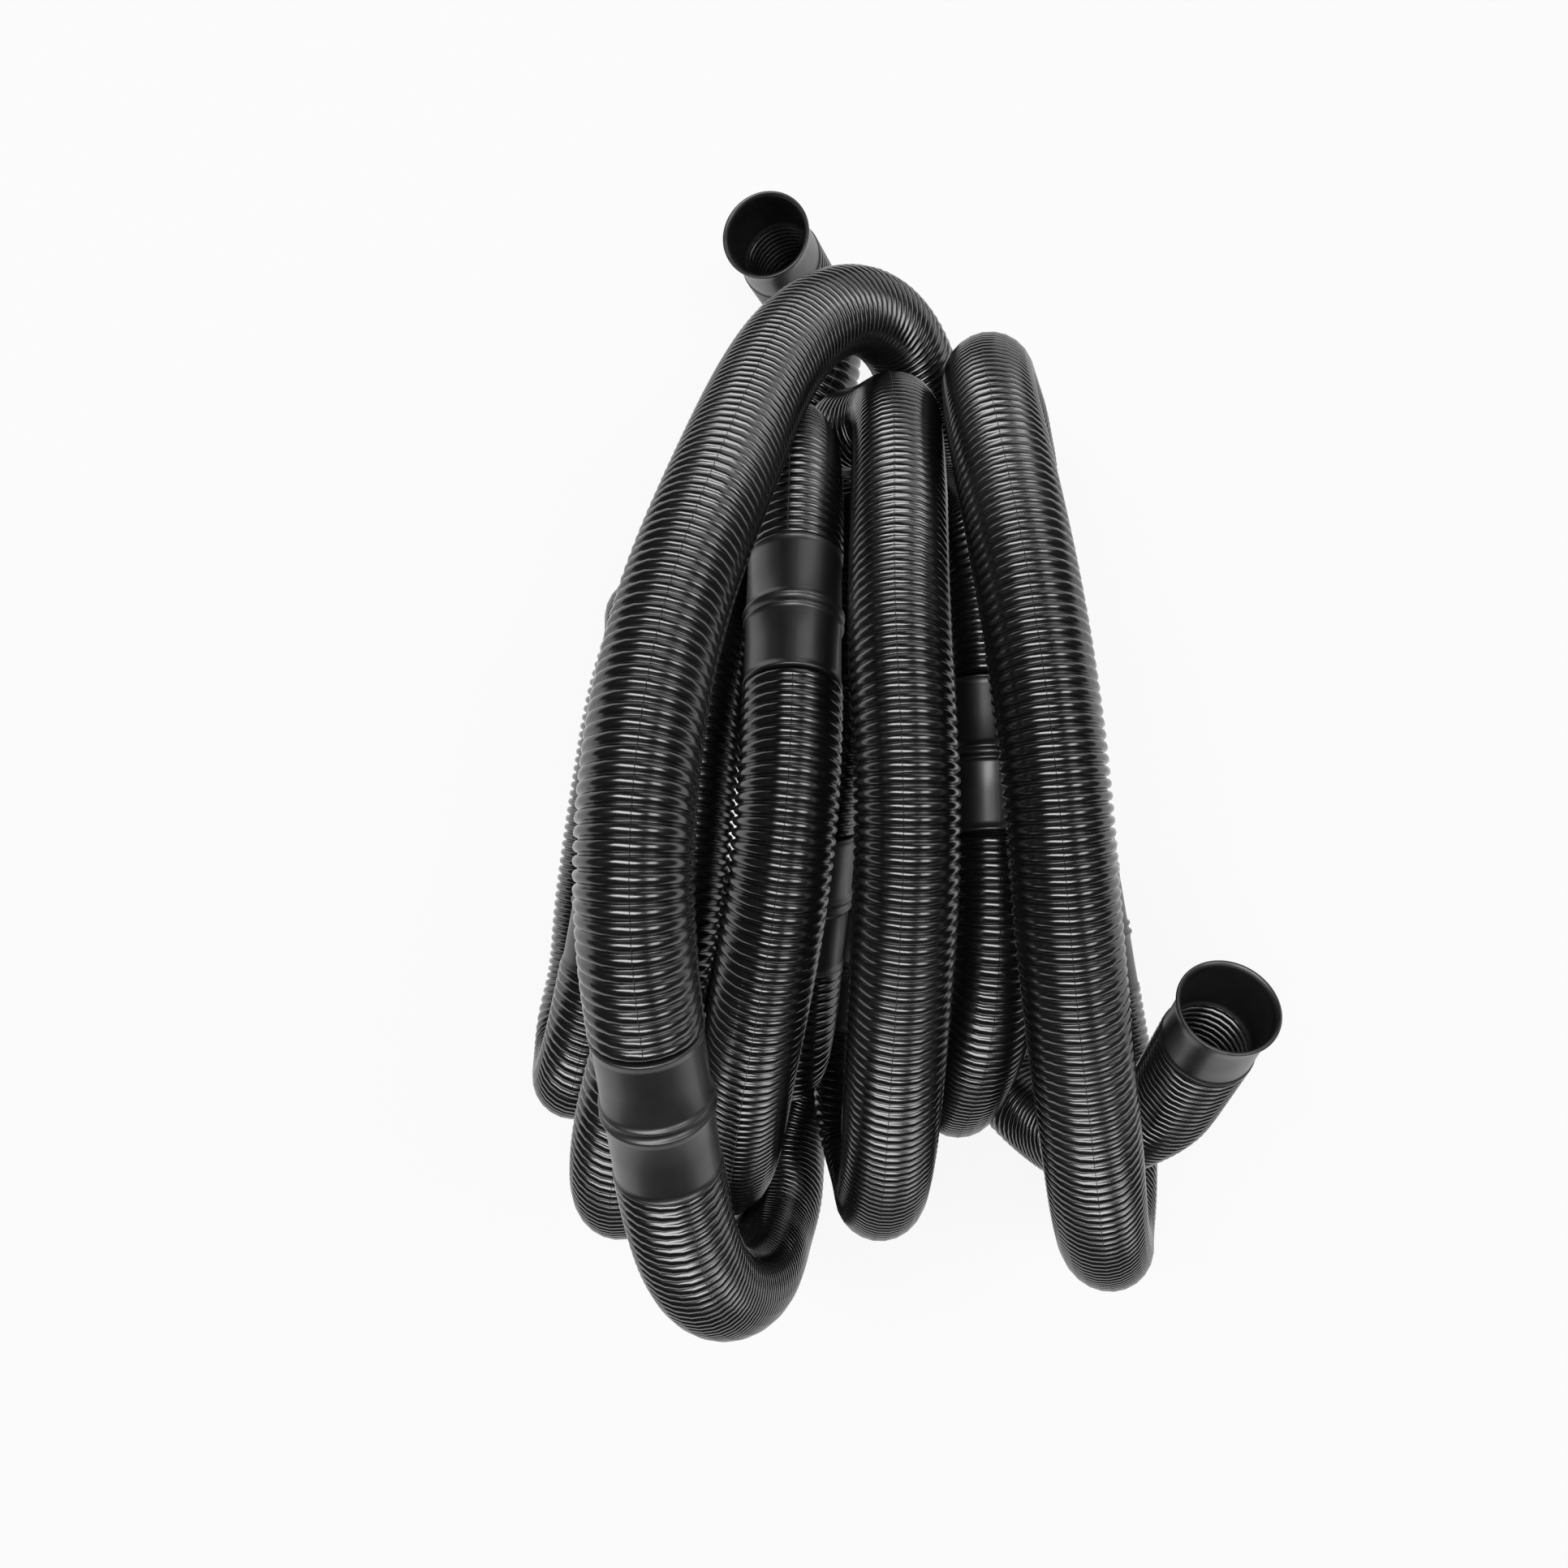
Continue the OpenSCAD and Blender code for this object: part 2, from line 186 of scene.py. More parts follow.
class Route:
    """The hose's axis by distance along it, straight beside each cuff and smooth elsewhere."""

    def __init__(self):
        stations = [Vector(p) for p in STATIONS]
        padded = (
            [2 * stations[0] - stations[1]] + stations + [2 * stations[-1] - stations[-2]]
        )
        self.curve = [
            self.curve_point(*padded[i : i + 4], k / CURVE_STEPS)
            for i in range(len(stations) - 1)
            for k in range(CURVE_STEPS)
        ] + [stations[-1]]
        self.along = [0.0]
        for a, b in zip(self.curve, self.curve[1:]):
            self.along.append(self.along[-1] + (b - a).length)
        self.length = self.along[-1]
        self.cuff_at = [0.0, *DOUBLE_CUFFS_AT, self.length]
        self.cuff_axis = []
        self.cuff_middle = []
        for k, s in enumerate(self.cuff_at):
            ahead = self.on_curve(min(s + STRAIGHT_LEAD, self.length))
            behind = self.on_curve(max(s - STRAIGHT_LEAD, 0))
            middle = self.on_curve(s)
            if 0 < k < len(self.cuff_at) - 1:
                middle = middle / 2 + (ahead + behind) / 4
            self.cuff_axis.append((ahead - behind).normalized())
            self.cuff_middle.append(middle)
        self.centre = self.footprint_centre()
        self.line = self.even_line()
        for k, s in enumerate(self.cuff_at):
            before = self.even_axis_at(max(s - CUFF_LENGTH / 2, 0))
            after = self.even_axis_at(min(s + CUFF_LENGTH / 2, self.length))
            self.cuff_axis[k] = (after - before).normalized()
            if 0 < k < len(self.cuff_at) - 1:
                self.cuff_middle[k] = self.even_axis_at(s)

    @staticmethod
    def curve_point(a, b, c, d, t):
        """A point of the smooth curve from b to c, with a before them and d after them."""
        ab, bc, cd = (math.sqrt((q - p).length) for p, q in ((a, b), (b, c), (c, d)))
        leave = (c - b) + bc * ((b - a) / ab - (c - a) / (ab + bc))
        arrive = (c - b) + bc * ((d - c) / cd - (d - b) / (bc + cd))
        return (
            (2 * t**3 - 3 * t**2 + 1) * b + (t**3 - 2 * t**2 + t) * leave
            + (3 * t**2 - 2 * t**3) * c + (t**3 - t**2) * arrive
        )

    def on_curve(self, s):
        """The point of the smooth curve at distance s."""
        low, high = 0, len(self.along) - 1
        while high - low > 1:
            middle = (low + high) // 2
            if self.along[middle] <= s:
                low = middle
            else:
                high = middle
        part = (s - self.along[low]) / (self.along[high] - self.along[low])
        return self.curve[low].lerp(self.curve[high], min(max(part, 0), 1))

    def axis_at(self, s):
        """The axis before it is evened out, straight beside the nearest cuff."""
        k = min(range(len(self.cuff_at)), key=lambda i: abs(s - self.cuff_at[i]))
        ds = s - self.cuff_at[k]
        ease = min(max((abs(ds) - STRAIGHT_LEAD) / EASE_LENGTH, 0), 1)
        share = ease * ease * (3 - 2 * ease)
        straight = self.cuff_middle[k] + ds * self.cuff_axis[k]
        return straight * (1 - share) + self.on_curve(s) * share

    def heading_at(self, s):
        """The direction of the axis before it is evened out."""
        ahead, behind = self.axis_at(s + HEADING_REACH), self.axis_at(s - HEADING_REACH)
        return (ahead - behind).normalized()

    def footprint_centre(self):
        """The middle of the coil's footprint, which is the origin of the part's frame."""
        ring_reach = HOSE_D / 2 * (1 + math.cos(math.pi / RING_SIDES)) / 2
        low, high = [math.inf] * 2, [-math.inf] * 2
        for i, s in enumerate(self.along):
            p = self.axis_at(s)
            heading = self.heading_at(min(max(s, HEADING_REACH), self.length - HEADING_REACH))
            r = LIP_D / 2 if i in (0, len(self.along) - 1) else ring_reach
            for k in (0, 1):
                half_width = r * math.sqrt(1 - heading[k] ** 2)
                low[k] = min(low[k], p[k] - half_width)
                high[k] = max(high[k], p[k] + half_width)
        return Vector(((low[0] + high[0]) / 2, (low[1] + high[1]) / 2, 0))

    def even_line(self):
        """The axis with the unevenness of its stations taken out, as a stiff hose lies."""
        count = round(self.length / EVEN_SPACING)
        self.line_step = self.length / count
        stops = [self.length * i / count for i in range(count + 1)]
        # Logarithm of the stiffness of the stretch that each stop lies on
        raw = []
        i = 0
        for s in stops:
            while i < len(self.along) - 2 and self.along[i + 1] <= s:
                i += 1
            raw.append(math.log(STIFFNESS[min(i // CURVE_STEPS, len(STIFFNESS) - 1)]))
        near = range(-BLEND_REACH, BLEND_REACH + 1)
        weights = [math.exp(-0.5 * (k / BLEND_SPREAD) ** 2) for k in near]
        stiffness = [
            math.exp(
                sum(w * raw[min(max(i + k, 0), count)] for k, w in zip(near, weights))
                / sum(weights)
            )
            for i in range(count + 1)
        ]
        hold = [
            HOLD_MOUTH if i < MOUTH_POINTS or i > count - MOUTH_POINTS else HOLD
            for i in range(count + 1)
        ]
        hold[0] = hold[-1] = HOLD_END
        return self.evened([self.axis_at(s) for s in stops], stiffness, hold)

    @staticmethod
    def evened(points, stiffness, hold):
        """Least change of curvature along a row of points, held to where they are."""
        n = len(points)
        # Upper half of a symmetric matrix, three places beside its diagonal, solved in place
        band = [[h, 0.0, 0.0, 0.0] for h in hold]
        change = (-1, 3, -3, 1)
        for i in range(n - 3):
            least = min(stiffness[i + 1], stiffness[i + 2])
            for p in range(4):
                for q in range(p, 4):
                    band[i + p][q - p] += least * change[p] * change[q]
        line = [p * h for p, h in zip(points, hold)]
        for i in range(n):
            for k in range(1, min(4, n - i)):
                share = band[i][k] / band[i][0]
                for m in range(k, min(4, n - i)):
                    band[i + k][m - k] -= share * band[i][m]
                line[i + k] = line[i + k] - share * line[i]
        for i in reversed(range(n)):
            for k in range(1, min(4, n - i)):
                line[i] = line[i] - band[i][k] * line[i + k]
            line[i] = line[i] / band[i][0]
        return line

    def even_axis_at(self, s):
        """The axis of the hose as it lies, evened out."""
        # Just short of the last point, so that there is always a next one
        place = min(max(s / self.line_step, 0), len(self.line) - 1.001)
        i = int(place)
        a = self.line[i - 1] if i else 2 * self.line[0] - self.line[1]
        b, c = self.line[i], self.line[i + 1]
        d = self.line[i + 2] if i + 2 < len(self.line) else 2 * c - b
        return self.curve_point(a, b, c, d, place - i)

    def placed(self, p):
        """A point of the route in the part's frame."""
        return p - self.centre

    def run(self, n, step):
        """Points of ribbed run n, from cuff to cuff, about a step apart."""
        start = self.cuff_at[n - 1] + CUFF_LENGTH / 2 - TUCK
        end = self.cuff_at[n] - CUFF_LENGTH / 2 + TUCK
        count = round((end - start) / step)
        stops = [start + (end - start) * i / count for i in range(count + 1)]
        return [self.placed(self.even_axis_at(s)) for s in stops]


ROUTE = Route()


# ---------------------------------------------------------------- node trees


class Wire:
    """A socket that takes part in Python arithmetic by adding Math nodes to its tree."""

    def __init__(self, tree, socket):
        self.tree = tree
        self.socket = socket

    def math(self, operation, *values):
        return add_node(self.tree, "ShaderNodeMath", {"operation": operation}, values)[0]

    def __add__(self, other):
        return self.math("ADD", self, other)

    __radd__ = __add__

    def __sub__(self, other):
        return self.math("SUBTRACT", self, other)

    def __rsub__(self, other):
        return self.math("SUBTRACT", other, self)

    def __mul__(self, other):
        return self.math("MULTIPLY", self, other)

    __rmul__ = __mul__

    def __truediv__(self, other):
        return self.math("DIVIDE", self, other)

    def __abs__(self):
        return self.math("ABSOLUTE", self)

    def __gt__(self, other):
        return self.math("GREATER_THAN", self, other)

    def __mod__(self, other):
        return self.math("MODULO", self, other)

    def floor(self):
        return self.math("FLOOR", self)

    def sine(self):
        return self.math("SINE", self)

    def cosine(self):
        return self.math("COSINE", self)

    def at_least(self, other):
        return self.math("MAXIMUM", self, other)

    def at_most(self, other):
        return self.math("MINIMUM", self, other)


def add_node(tree, kind, settings=None, values=()):
    """Adds a node with its settings first and then its sockets, and returns its outputs."""
    node = tree.nodes.new(kind)
    for name, value in (settings or {}).items():
        setattr(node, name, value)
    pairs = values.items() if isinstance(values, dict) else enumerate(values)
    for key, value in pairs:
        if isinstance(value, Wire):
            tree.links.new(value.socket, node.inputs[key])
        elif isinstance(value, (list, tuple)) and value and isinstance(value[0], Wire):
            for one in value:
                tree.links.new(one.socket, node.inputs[key])
        else:
            node.inputs[key].default_value = value
    return [Wire(tree, socket) for socket in node.outputs]


# ---------------------------------------------------------------- settings


class HoseSizes(bpy.types.PropertyGroup):
    """Sizes of the hose's ribs, cuffs and mouths"""

    crest_radius: bpy.props.FloatProperty(
        name="Crest radius", description="Radius over the ribs", default=0.023,
        subtype="DISTANCE", unit="LENGTH", precision=4,
    )
    groove_radius: bpy.props.FloatProperty(
        name="Groove radius", description="Radius at the bottom of a groove", default=0.021,
        subtype="DISTANCE", unit="LENGTH", precision=4,
    )
    bore_radius: bpy.props.FloatProperty(
        name="Bore radius", description="Radius of the clear bore", default=0.019,
        subtype="DISTANCE", unit="LENGTH", precision=4,
    )
    rib_pitch: bpy.props.FloatProperty(
        name="Rib pitch", description="Distance from rib to rib", default=0.00505,
        subtype="DISTANCE", unit="LENGTH", precision=5,
    )
    rib_share: bpy.props.FloatProperty(
        name="Rib share", description="Part of the pitch that a rib takes up", default=0.84,
        min=0.5, max=0.95, subtype="FACTOR",
    )
    sides: bpy.props.IntProperty(
        name="Sides", description="Sides of each ring of a ribbed run", default=24, min=8,
        max=48,
    )
    mouth_radius: bpy.props.FloatProperty(
        name="Mouth radius", description="Inner radius of an end cuff", default=0.0204,
        subtype="DISTANCE", unit="LENGTH", precision=4,
    )
    cuff_radius: bpy.props.FloatProperty(
        name="Cuff radius", description="Radius of a smooth cuff", default=0.0222,
        subtype="DISTANCE", unit="LENGTH", precision=4,
    )


class HoseFinish(bpy.types.PropertyGroup):
    """Colour and gloss of the moulded plastic"""

    plastic: bpy.props.FloatVectorProperty(
        name="Plastic", description="Colour of the black plastic", size=3, subtype="COLOR",
        min=0, max=1, default=(0.0034, 0.0035, 0.0039),
    )
    scuffed: bpy.props.FloatVectorProperty(
        name="Scuffed", description="Colour of handled and dusty plastic", size=3,
        subtype="COLOR", min=0, max=1, default=(0.0100, 0.0092, 0.0088),
    )
    rib_roughness: bpy.props.FloatProperty(
        name="Rib roughness", description="Roughness of the ribs' crests", default=0.17, min=0,
        max=1, subtype="FACTOR",
    )
    cuff_roughness: bpy.props.FloatProperty(
        name="Cuff roughness", description="Roughness of the smooth cuffs", default=0.40,
        min=0, max=1, subtype="FACTOR",
    )


class HoseStage(bpy.types.PropertyGroup):
    """Floor, lamps and camera"""

    floor_size: bpy.props.FloatProperty(
        name="Floor size", description="Width of the floor", default=14,
        subtype="DISTANCE", unit="LENGTH",
    )
    floor: bpy.props.FloatVectorProperty(
        name="Floor", description="Colour of the floor", size=3, subtype="COLOR", min=0, max=1,
        default=(0.8, 0.8, 0.8),
    )
    camera_height: bpy.props.FloatProperty(
        name="Camera height", description="Height of the camera over the floor",
        default=0.9476, subtype="DISTANCE", unit="LENGTH", precision=4,
    )
    camera_lens: bpy.props.FloatProperty(
        name="Lens", description="Focal length on a 36 mm sensor", default=35.404,
        subtype="DISTANCE_CAMERA", unit="CAMERA",
    )


# ---------------------------------------------------------------- finishes

# Widths across the hose of the mould's parting line and of the duller strip round it, as shares
# of the radius
SEAM_WIDTH, STRIP_WIDTH = 0.0075, 0.08
# Wear starts where the clouding passes this level, and rises this steeply; smears add to it
WEAR_FROM, WEAR_RISE, WEAR_SMEAR = 0.42, 2.2, 0.7
# Share of the wear that reaches the grooves between the ribs. Keeping the rest off leaves the
# grooves at the darker plain plastic, partly as less wear there and partly as painted shade in
# the grooves
GROOVE_WEAR_AND_SHADE = 0.35
# Middle of a noise texture's range
MID = 0.5
# Roughness that wear, smears, grooves, the parting line and the strip round it add
WEAR_ROUGH, SMEAR_ROUGH, GROOVE_ROUGH, SEAM_ROUGH, STRIP_ROUGH = 0.10, 0.09, 0.10, 0.22, 0.03
LEAST_ROUGH = 0.05
# Relief of the grain and the smears, and depth of the parting line on ribs and cuffs, in metres
GRAIN_RELIEF, SMEAR_RELIEF = 0.00001, 0.000008
SEAM_DEPTH_RIBS, SEAM_DEPTH_CUFFS = 0.00016, 0.00002
# Share of plain white in what the camera, gloss and glass see of the floor
FLOOR_WHITE = 0.9


def plastic(name, finish, roughness, ribbed):
    """Black blow-moulded polyethylene: fine grain, faint scuffs, painted shade in the ribs'
    grooves and a mould parting line.
    """
    material = bpy.data.materials.get(name)
    if material:
        return material
    material = bpy.data.materials.new(name)
    material.use_nodes = True
    material.diffuse_color = (*finish.plastic, 1)
    tree = material.node_tree
    tree.nodes.clear()
    object_place = add_node(tree, "ShaderNodeTexCoord")[3]

    def noise(scale, detail, fineness):
        """Noise over the piece from 0 to 1, with its scale in waves per metre."""
        return add_node(
            tree, "ShaderNodeTexNoise", {"noise_dimensions": "3D"},
            {
                "Vector": object_place, "Scale": scale, "Detail": detail,
                "Roughness": fineness,
            },
        )[0]

    def attribute(label):
        return add_node(tree, "ShaderNodeAttribute", {"attribute_name": label})[2]

    cloud = noise(14.0, 4.0, 0.55)
    smear = noise(95.0, 3.0, 0.6)
    grain = noise(2400.0, 2.0, 0.5)
    across = attribute("seam_offset")
    seam = (1 - abs(across) / SEAM_WIDTH).at_least(0)
    strip = (1 - abs(across) / STRIP_WIDTH).at_least(0)
    wear_and_groove_shade = (cloud - WEAR_FROM) * WEAR_RISE + (smear - MID) * WEAR_SMEAR
    wear_and_groove_shade = wear_and_groove_shade.at_least(0).at_most(1)
    # On ribbed runs the scuffs fade towards the grooves, so the grooves stay darker: wear on the
    # crests and painted shade in the grooves
    if ribbed:
        height = attribute("rib_height")
        wear_and_groove_shade = (wear_and_groove_shade * (GROOVE_WEAR_AND_SHADE + (1 - GROOVE_WEAR_AND_SHADE) * height)).at_most(1)
    colour = add_node(
        tree, "ShaderNodeMix", {"data_type": "RGBA", "blend_type": "MIX"},
        {0: wear_and_groove_shade, 6: (*finish.plastic, 1), 7: (*finish.scuffed, 1)},
    )[2]
    rough = roughness + wear_and_groove_shade * WEAR_ROUGH + (smear - MID) * SMEAR_ROUGH
    if ribbed:
        rough = rough + (1 - height) * GROOVE_ROUGH + seam * SEAM_ROUGH + strip * STRIP_ROUGH
    seam_depth = SEAM_DEPTH_RIBS if ribbed else SEAM_DEPTH_CUFFS
    relief = grain * GRAIN_RELIEF + smear * SMEAR_RELIEF - seam * seam_depth
    normal = add_node(
        tree, "ShaderNodeBump", {}, {"Strength": 1.0, "Distance": 1.0, "Height": relief},
    )[0]
    shader = add_node(
        tree, "ShaderNodeBsdfPrincipled", {},
        {
            "Base Color": colour, "Roughness": rough.at_least(LEAST_ROUGH).at_most(1),
            "Normal": normal, "IOR": 1.5, "Specular IOR Level": 1.0,
            "Coat Weight": 0.25, "Coat Roughness": 0.2,
        },
    )[0]
    add_node(tree, "ShaderNodeOutputMaterial", {}, {"Surface": shader})
    return material


def stage_material(colour):
    """A matte pale floor that shows white to the eye and to glossy things, with shadows."""
    material = bpy.data.materials.new("pale_floor")
    material.use_nodes = True
    tree = material.node_tree
    tree.nodes.clear()
    path = add_node(tree, "ShaderNodeLightPath")
    camera, glossy, through = path[0], path[3], path[6]
    seen = camera.at_least(glossy).at_least(through)
    matte = add_node(
        tree, "ShaderNodeBsdfDiffuse", {}, {"Color": (*colour, 1), "Roughness": 1.0}
    )[0]
    white = add_node(
        tree, "ShaderNodeEmission", {}, {"Color": (1, 1, 1, 1), "Strength": 1.0}
    )[0]
    shader = add_node(
        tree, "ShaderNodeMixShader", {}, {0: seen * FLOOR_WHITE, 1: matte, 2: white}
    )[0]
    add_node(tree, "ShaderNodeOutputMaterial", {}, {"Surface": shader})
    return material


# ---------------------------------------------------------------- ribbed runs

# Rings of each rib outside and in the bore. Only the runs behind the two mouths show their bore.
OUTER_RINGS = 8
MOUTH_RINGS = 8
HIDDEN_RINGS = 4
# Spacing of the points of a run's path
PATH_STEP = 0.002
# Wall between the bore and the floor where the hose lies flat
FLOOR_WALL = 0.0016


def ribbed_tube_tree(inner_rings):
    """Rings that follow the input curve: beads outside, a rippled bore inside."""
    name = f"Ribbed tube {inner_rings}"
    if name in bpy.data.node_groups:
        return bpy.data.node_groups[name]
    tree = bpy.data.node_groups.new(name, "GeometryNodeTree")
    interface = tree.interface
    interface.new_socket("Geometry", in_out="INPUT", socket_type="NodeSocketGeometry")
    for label, kind in (
        ("Crest Radius", "Float"), ("Groove Radius", "Float"), ("Bore Radius", "Float"),
        ("Pitch", "Float"), ("Rib Share", "Float"), ("Ribs", "Int"), ("Sides", "Int"),
        ("Wall", "Float"), ("Material", "Material"),
    ):
        interface.new_socket(label, in_out="INPUT", socket_type=f"NodeSocket{kind}")
    interface.new_socket("Geometry", in_out="OUTPUT", socket_type="NodeSocketGeometry")
    labels = (
        "path", "crest", "groove", "bore", "pitch", "share", "ribs", "sides", "wall", "finish",
    )
    given = dict(zip(labels, add_node(tree, "NodeGroupInput")))
    index = add_node(tree, "GeometryNodeInputIndex")[0]
    position = add_node(tree, "GeometryNodeInputPosition")[0]

    def rings(per_rib, step_and_height, low, depth):
        """A skin of rings along the path, each raised over the lowest radius by its height."""
        part = index % per_rib
        rib = (index / per_rib).floor()
        phase, height = step_and_height(part)
        spread = add_node(
            tree, "GeometryNodeResampleCurve", {"mode": "COUNT"},
            {"Curve": given["path"], "Count": given["ribs"] * per_rib + 1},
        )[0]
        sample = add_node(
            tree, "GeometryNodeSampleCurve", {"mode": "LENGTH", "use_all_curves": True},
            {"Curves": given["path"], "Length": (rib + phase) * given["pitch"]},
        )
        moved = add_node(
            tree, "GeometryNodeSetPosition", {}, {"Geometry": spread, "Position": sample[1]}
        )[0]
        marked = add_node(
            tree, "GeometryNodeStoreNamedAttribute", {"data_type": "FLOAT", "domain": "POINT"},
            {"Geometry": moved, "Name": "rib_height", "Value": height},
        )[0]
        circle = add_node(
            tree, "GeometryNodeCurvePrimitiveCircle", {"mode": "RADIUS"},
            {"Resolution": given["sides"], "Radius": 1.0},
        )[0]
        across = add_node(tree, "ShaderNodeSeparateXYZ", {}, [position])[0]
        lined = add_node(
            tree, "GeometryNodeStoreNamedAttribute", {"data_type": "FLOAT", "domain": "POINT"},
            {"Geometry": circle, "Name": "seam_offset", "Value": across},
        )[0]
        return add_node(
            tree, "GeometryNodeCurveToMesh", {},
            {"Curve": marked, "Profile Curve": lined, "Scale": low + depth * height},
        )[0]

    def settled(mesh, lowest):
        """Nothing of the hose sinks below where the floor holds it."""
        x, y, z = add_node(tree, "ShaderNodeSeparateXYZ", {}, [position])
        kept = add_node(tree, "ShaderNodeCombineXYZ", {}, [x, y, z.at_least(lowest)])[0]
        return add_node(
            tree, "GeometryNodeSetPosition", {}, {"Geometry": mesh, "Position": kept}
        )[0]

    def bead(count):
        """A rib of count rings: one at the groove's middle and the rest over a round crest."""
        def step_and_height(part):
            on_rib = part > 0.5
            lift = (part - 1).at_least(0) / (count - 2) * math.pi
            phase = (0.5 - lift.cosine() * given["share"] / 2) * on_rib
            return phase, lift.sine() * on_rib
        return step_and_height

    depth = given["crest"] - given["groove"]
    outer = settled(rings(OUTER_RINGS, bead(OUTER_RINGS), given["groove"], depth), 0.0)
    inner = settled(
        rings(inner_rings, bead(inner_rings), given["bore"], depth), given["wall"]
    )
    inner = add_node(tree, "GeometryNodeFlipFaces", {}, [inner])[0]
    joined = add_node(tree, "GeometryNodeJoinGeometry", {}, [[inner, outer]])[0]
    real = add_node(tree, "GeometryNodeRealizeInstances", {}, {"Geometry": joined})[0]
    done = add_node(
        tree, "GeometryNodeSetMaterial", {}, {"Geometry": real, "Material": given["finish"]}
    )[0]
    add_node(tree, "NodeGroupOutput", {}, [done])
    return tree


def curve_through(name, points):
    """An open curve object of straight steps through the points."""
    data = bpy.data.curves.new(name, "CURVE")
    data.dimensions = "3D"
    spline = data.splines.new("POLY")
    spline.points.add(len(points) - 1)
    for point, p in zip(spline.points, points):
        point.co = (*p, 1)
    holder = bpy.data.objects.new(name, data)
    bpy.context.scene.collection.objects.link(holder)
    return holder


def as_mesh(holder, name):
    """The evaluated object as a plain mesh object, with its holder and modifier gone."""
    shown = holder.evaluated_get(bpy.context.evaluated_depsgraph_get())
    mesh = bpy.data.meshes.new_from_object(shown)
    bpy.data.objects.remove(holder)
    mesh.name = name
    piece = bpy.data.objects.new(name, mesh)
    bpy.context.scene.collection.objects.link(piece)
    return piece


def close_ends(mesh):
    """Joins the outer and the inner skin at each end of a tube."""
    bm = bmesh.new()
    bm.from_mesh(mesh)
    loops = []
    # A dictionary keeps the edges in the mesh's own order, so each run gives the same faces
    left = {edge: True for edge in bm.edges if edge.is_boundary}
    while left:
        edge = next(iter(left))
        del left[edge]
        loop = [edge]
        queue = list(edge.verts)
        while queue:
            for other in queue.pop().link_edges:
                if left.pop(other, False):
                    loop.append(other)
                    queue.extend(other.verts)
        loops.append(loop)
    middles = [
        sum((v.co for e in loop for v in e.verts), Vector()) / (2 * len(loop)) for loop in loops
    ]
    while loops:
        loop, middle = loops.pop(), middles.pop()
        k = min(range(len(loops)), key=lambda i: (middles[i] - middle).length)
        bmesh.ops.bridge_loops(bm, edges=loop + loops.pop(k))
        middles.pop(k)
    for face in bm.faces:
        face.smooth = True
    bm.to_mesh(mesh)
    bm.free()


class HOSE_OT_ribbed_runs(bpy.types.Operator):
    """Replace each ribbed run with its full row of ribs"""

    bl_idname = "hose.ribbed_runs"
    bl_label = "Ribbed runs"

    def execute(self, context):
        sizes = context.scene.hose_sizes
        finish = context.scene.hose_finish
        black = plastic("hose_plastic_ribbed", finish, finish.rib_roughness, True)
        for n in range(1, SECTIONS + 1):
            tree = ribbed_tube_tree(MOUTH_RINGS if n in (1, SECTIONS) else HIDDEN_RINGS)
            sockets = {
                item.name: item.identifier
                for item in tree.interface.items_tree
                if item.in_out == "INPUT"
            }
            name = f"ribs_{n}"
            points = ROUTE.run(n, PATH_STEP)
            length = sum((b - a).length for a, b in zip(points, points[1:]))
            ribs = round(length / sizes.rib_pitch)
            holder = curve_through(name, points)
            modifier = holder.modifiers.new("Ribs", "NODES")
            modifier.node_group = tree
            for label, value in (
                ("Crest Radius", sizes.crest_radius), ("Groove Radius", sizes.groove_radius),
                ("Bore Radius", sizes.bore_radius), ("Pitch", length / ribs),
                ("Rib Share", sizes.rib_share), ("Ribs", ribs), ("Sides", sizes.sides),
                ("Wall", FLOOR_WALL), ("Material", black),
            ):
                modifier[sockets[label]] = value
            piece = as_mesh(holder, name)
            close_ends(piece.data)
            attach(piece, BODY)
            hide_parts(f"ribbed_run_{n}")
        return {"FINISHED"}


# ---------------------------------------------------------------- cuffs

DOUBLE_CUFF_SIDES = 72
END_CUFF_SIDES = 96
# Outline of the cuffs, in metres: the round shoulder at an end, how far its middle is from the
# end, where the smooth part starts, and how far that part and the foot of a band draw in
SHOULDER = 0.0009
SHOULDER_MIDDLE = 0.0011
SMOOTH_FROM = 0.0045
DRAWN_IN = 0.0002
FOOT_IN = 0.0001
# Middle of each thin band beside the cuff's own middle, and the bands' radii
BAND_AT = 0.0026
LOWER_BAND, UPPER_BAND = 0.0012, 0.0011
# Bevel at the ends of a double cuff's bore, across and along
BEVEL, BEVEL_LENGTH = 0.0004, 0.0006
# Radius of the rolled edge of a mouth
LIP_ROLL = 0.0007


def turned(name, outline, segments, middle, axis):
    """A closed solid turned from its outline of (radius, height), placed along an axis."""
    bm = bmesh.new()
    offset = bm.verts.layers.float.new("seam_offset")
    rings = []
    for r, z in outline:
        rings.append([
            bm.verts.new((
                r * math.cos(2 * math.pi * j / segments),
                r * math.sin(2 * math.pi * j / segments), z,
            ))
            for j in range(segments)
        ])
    for i, ring in enumerate(rings):
        after = rings[(i + 1) % len(rings)]
        for j in range(segments):
            k = (j + 1) % segments
            bm.faces.new((ring[j], ring[k], after[k], after[j]))
    for face in bm.faces:
        face.smooth = True
    # The parting line runs down both sides, where the offset is zero
    for ring in rings:
        for j, vert in enumerate(ring):
            vert[offset] = math.cos(2 * math.pi * j / segments)
    bmesh.ops.recalc_face_normals(bm, faces=bm.faces)
    mesh = bpy.data.meshes.new(name)
    bm.to_mesh(mesh)
    bm.free()
    facing = axis.to_track_quat("Z", "Y").to_matrix().to_4x4()
    mesh.transform(Matrix.Translation(middle) @ facing)
    piece = bpy.data.objects.new(name, mesh)
    bpy.context.scene.collection.objects.link(piece)
    return piece


def rounded(r, z, radius, first, last, steps):
    """Points of an arc of the outline, by angles in degrees from +radius towards +height."""
    angles = [math.radians(first + (last - first) * i / steps) for i in range(steps + 1)]
    return [(r + radius * math.cos(a), z + radius * math.sin(a)) for a in angles]


